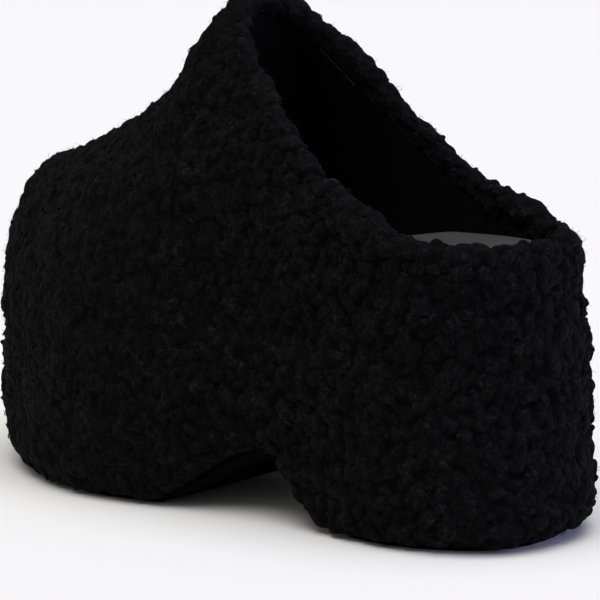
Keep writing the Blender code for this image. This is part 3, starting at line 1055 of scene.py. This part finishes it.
def add_backing(node):
    """Dark hide under the curls: the solid with its skin drawn in."""
    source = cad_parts[node].data
    bm = bmesh.new()
    bm.from_mesh(source)
    bmesh.ops.remove_doubles(bm, verts=bm.verts, dist=MERGE_DISTANCE)
    bm.normal_update()
    for vert in bm.verts:
        move = vert.normal * BACKING_DEPTH
        ups = [face.normal.z for face in vert.link_faces]
        if min(ups) < -0.8 or (node == "platform" and max(ups) > 0.8):
            move.z = 0
        vert.co -= move
    mesh = bpy.data.meshes.new(node + "_backing")
    bm.to_mesh(mesh)
    bm.free()
    mesh.transform(Matrix.Translation(-TO_ROW))
    new_piece(node + "_backing", mesh, BACKING, (node,))


def add_lining():
    """Smooth lining on the inner wall, under the turned-in pile, with a narrow bound edge along its top."""
    heel = THROAT_AT * (0.5 - 0.5 * np.cos(np.linspace(0, np.pi, 91)))
    toe = THROAT_AT + (LENGTH - THROAT_AT) * np.sin(np.linspace(0, np.pi / 2, 41))
    places = np.concatenate([heel[:-1], toe])
    share = np.where(places < THROAT_AT, 1 - turn_in_share(places) * 0.95, 1)
    bm = bmesh.new()
    edges = {}
    for side in (1, -1):
        angles = np.outer(np.linspace(0, 1, 30), share * hoop_reach(places))
        normals = hoop_normals(side, places, angles)
        points = hoop_points(side, places, angles) - normals * (WALL + LINING_CLEARANCE)
        edges[side] = points[-1, : len(heel)]
        rows = [[bm.verts.new(p) for p in row] for row in points]
        for below, above in zip(rows, rows[1:]):
            for i in range(len(places) - 1):
                bm.faces.new((below[i], below[i + 1], above[i + 1], above[i])[::side])
    bmesh.ops.remove_doubles(bm, verts=bm.verts, dist=0.00002)
    mesh = bpy.data.meshes.new("lining")
    bm.to_mesh(mesh)
    bm.free()
    new_piece("lining", mesh, LINING)
    shown = (heel > BINDING_FROM) & (heel < BINDING_TO)
    for side, name in ((1, "left"), (-1, "right")):
        add_tube("lining_binding_" + name, edges[side][shown], BINDING_RADIUS, BINDING)


def add_tube(name, path, radius, material, sides=8):
    ahead = unit(np.gradient(path, axis=0))
    across = unit(np.cross(ahead, (0.02, 0.03, 1)))
    above = np.cross(across, ahead)
    turn = np.linspace(0, 2 * np.pi, sides, endpoint=False)[None, :, None]
    rings = path[:, None] + radius * (across[:, None] * np.cos(turn) + above[:, None] * np.sin(turn))
    ends = np.repeat(path[[0, -1], None], sides, axis=1)
    rings = np.concatenate([ends[:1], rings, ends[1:]])
    mesh = bpy.data.meshes.new(name)
    mesh.from_pydata(rings.reshape(-1, 3), [], grid_faces(*rings.shape[:2], closed=True))
    merge(mesh, 0.000001)
    new_piece(name, mesh, material)


def add_footbed():
    """Padded leather footbed, a little crowned, with its edge rolled down to the platform."""
    places = even_places(LINING_CLEARANCE, LENGTH - LINING_CLEARANCE, FOOTBED_STEP)
    edge = WALL + SIDE_CLEARANCE + LINING_CLEARANCE
    left, right = side_line(places, 1, edge)[0], side_line(places, -1, edge)[0]
    across = 0.5 - 0.5 * np.cos(np.linspace(0, np.pi, 33))
    flat = left * (1 - across[:, None, None]) + right * across[:, None, None]
    half = np.linalg.norm(left - right, axis=1) / 2
    inward = half * (1 - np.abs(1 - 2 * across[:, None]))
    inward = np.minimum(inward, np.minimum(places - places[0], places[-1] - places) + 0.0001)
    roll = np.clip(inward / FOOTBED_ROLL, 0, 1)
    rise = FOOTBED_THICKNESS * (1 - (1 - roll) ** 2.2) ** 0.5
    crown = FOOTBED_CROWN * np.sin(np.pi * across)[:, None] * np.clip(half / 0.03, 0, 1)
    top = np.concatenate([flat, (feather(flat[..., 0]) + rise + crown * roll)[..., None]], axis=-1)
    base = np.concatenate([flat, feather(flat[..., 0])[..., None]], axis=-1)
    faces = grid_faces(*top.shape[:2])
    points = np.concatenate([top.reshape(-1, 3), base.reshape(-1, 3)])
    index = np.arange(top.shape[0] * top.shape[1]).reshape(top.shape[:2])
    rim = np.concatenate([index[0], index[1:, -1], index[-1, -2::-1], index[-2:0:-1, 0]])
    ahead = np.roll(rim, -1)
    walls = np.stack([rim, rim + index.size, ahead + index.size, ahead], axis=-1)
    mesh = bpy.data.meshes.new("footbed")
    mesh.from_pydata(points, [], np.concatenate([faces, faces[:, ::-1] + index.size, walls]))
    merge(mesh)
    piece = new_piece("footbed", mesh, FOOTBED, ("insole",))


def add_stray_hairs(points, normals):
    """Short single hairs that stand out of the pile and curl over."""
    own = np.random.default_rng(77)
    by_collar = np.abs(points[:, 2] - collar_height(points[:, 0])) < COLLAR_HAIR_BAND
    weight = np.where(by_collar & (points[:, 0] < THROAT_AT + COLLAR_HAIR_PAST), COLLAR_HAIR_WEIGHT, 1.0)
    chosen = own.choice(len(points), STRAY_HAIRS, p=weight / weight.sum())
    across, ahead = frames_on(normals[chosen], own)
    up = unit(normals[chosen] + own.normal(size=across.shape) * 0.35)
    offset = own.uniform(-HAIR_OFFSET, HAIR_OFFSET, (len(chosen), 1))
    start = points[chosen] + across * offset - up * HAIR_ROOT
    length = own.uniform(*HAIR_LENGTH, (len(chosen), 1))
    curl = own.uniform(*HAIR_CURL, (len(chosen), 1))
    rows = []
    for t in np.linspace(0, 1, HAIR_RINGS + 1):
        angle = curl * t
        rise, run = np.sin(angle) / curl, (1 - np.cos(angle)) / curl
        sway = across * length * 0.25 * np.sin(5 * t)
        rows.append(start + up * length * rise + ahead * length * run + sway)
    rows = np.stack(rows, axis=1)
    radius = own.uniform(*HAIR_RADIUS, (len(chosen), 1, 1)) * np.linspace(1, 0.5, HAIR_RINGS)[:, None]
    sides = []
    for turn in np.linspace(0, 2 * np.pi, 3, endpoint=False):
        way = across[:, None] * np.cos(turn) + ahead[:, None] * np.sin(turn)
        sides.append(rows[:, :-1] + radius * way)
    rings = np.stack(sides, axis=2)
    points = np.concatenate([rings.reshape(-1, 3), rows[:, -1]])
    points[:, 2] = np.maximum(points[:, 2], FLOOR_CLEARANCE)
    index = np.arange(rings.size // 3).reshape(rings.shape[:3])
    below, above, last = index[:, :-1], index[:, 1:], index[:, -1]
    walls = np.stack([below, np.roll(below, -1, axis=2), np.roll(above, -1, axis=2), above], axis=-1)
    ends = np.repeat(index.size + np.arange(len(chosen)), 3).reshape(-1, 3)
    tips = np.stack([last, np.roll(last, -1, axis=1), ends], axis=-1)
    faces = [*walls.reshape(-1, 4).tolist(), *tips.reshape(-1, 3).tolist(), *index[:, 0, ::-1].tolist()]
    mesh = bpy.data.meshes.new("stray_hairs")
    mesh.from_pydata(points, [], faces)
    new_piece("stray_hairs", mesh, FIBRE)


add_backing("upper")
add_backing("platform")
grown_points, grown_normals = add_pile()
add_lining()
add_stray_hairs(grown_points, grown_normals)
add_footbed()

for node in ("outsole", "heel_top_piece"):
    for material_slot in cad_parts[node].material_slots:
        material_slot.material = RUBBER

# ---- Floor, light and camera ----

bpy.ops.mesh.primitive_plane_add(size=24)
floor = bpy.context.object
floor.name = "floor"
floor.data.materials.append(plain_material("pale_floor", (0.80, 0.79, 0.77), 0.95, Specular_IOR_Level=0.1))

world = bpy.data.worlds.new("studio")
world.use_nodes = True
background = world.node_tree.nodes["Background"].inputs
background["Color"].default_value = (1, 1, 1, 1)
background["Strength"].default_value = 0.23
bpy.context.scene.world = world
bpy.context.scene.view_settings.view_transform = "Standard"


def add_light(name, toward, spread, power, colour):
    """Wide even light from one direction, as from a large soft box."""
    light = bpy.data.lights.new(name, "SUN")
    light.angle = math.radians(spread)
    light.energy = power
    light.color = colour
    lamp = bpy.data.objects.new(name, light)
    lamp.location = Vector(toward)
    lamp.rotation_euler = Vector(toward).to_track_quat("Z", "Y").to_euler()
    bpy.context.scene.collection.objects.link(lamp)


add_light("top_light", (-0.15, 0.18, 1.0), 60, 2.86, (1, 1, 0.985))
add_light("left_light", (0.2, 1.0, 0.5), 50, 0.16, (1, 0.98, 0.94))
add_light("cool_back_light", (-1.0, -0.2, 0.32), 40, 1.42, (0.48, 0.51, 1))

# The camera stands behind the shoe on its left, as in the photograph
CAMERA_TURN = 47.3689
CAMERA_DISTANCE = 1.02634
CAMERA_HEIGHT = 0.25104
CAMERA_FOCUS = 2791.746 / 600
CAMERA_PITCH = 9.8178
CAMERA_YAW = 0.266
CAMERA_ROLL = -0.9776
CAMERA_AIM = 0.130


def add_camera():
    turn = math.radians(CAMERA_TURN)
    away = Vector((-math.cos(turn), math.sin(turn), 0)) * CAMERA_DISTANCE
    heading, pitch = math.radians(CAMERA_TURN + CAMERA_YAW), math.radians(CAMERA_PITCH)
    forward = Vector(
        (math.cos(heading) * math.cos(pitch), -math.sin(heading) * math.cos(pitch), -math.sin(pitch))
    )
    right = forward.cross(Vector((0, 0, 1))).normalized()
    up = right.cross(forward)
    roll = math.radians(CAMERA_ROLL)
    right, up = right * math.cos(roll) + up * math.sin(roll), up * math.cos(roll) - right * math.sin(roll)
    data = bpy.data.cameras.new("camera")
    data.sensor_width = 36
    data.lens = CAMERA_FOCUS * 36
    data.clip_start = 0.05
    data.clip_end = 60
    camera = bpy.data.objects.new("camera", data)
    turned = Matrix((right, up, -forward)).transposed().to_4x4()
    place = Vector((cad_box[0][0] + CAMERA_AIM, 0, CAMERA_HEIGHT)) + away
    camera.matrix_world = Matrix.Translation(place) @ turned
    bpy.context.scene.collection.objects.link(camera)
    bpy.context.scene.camera = camera


add_camera()
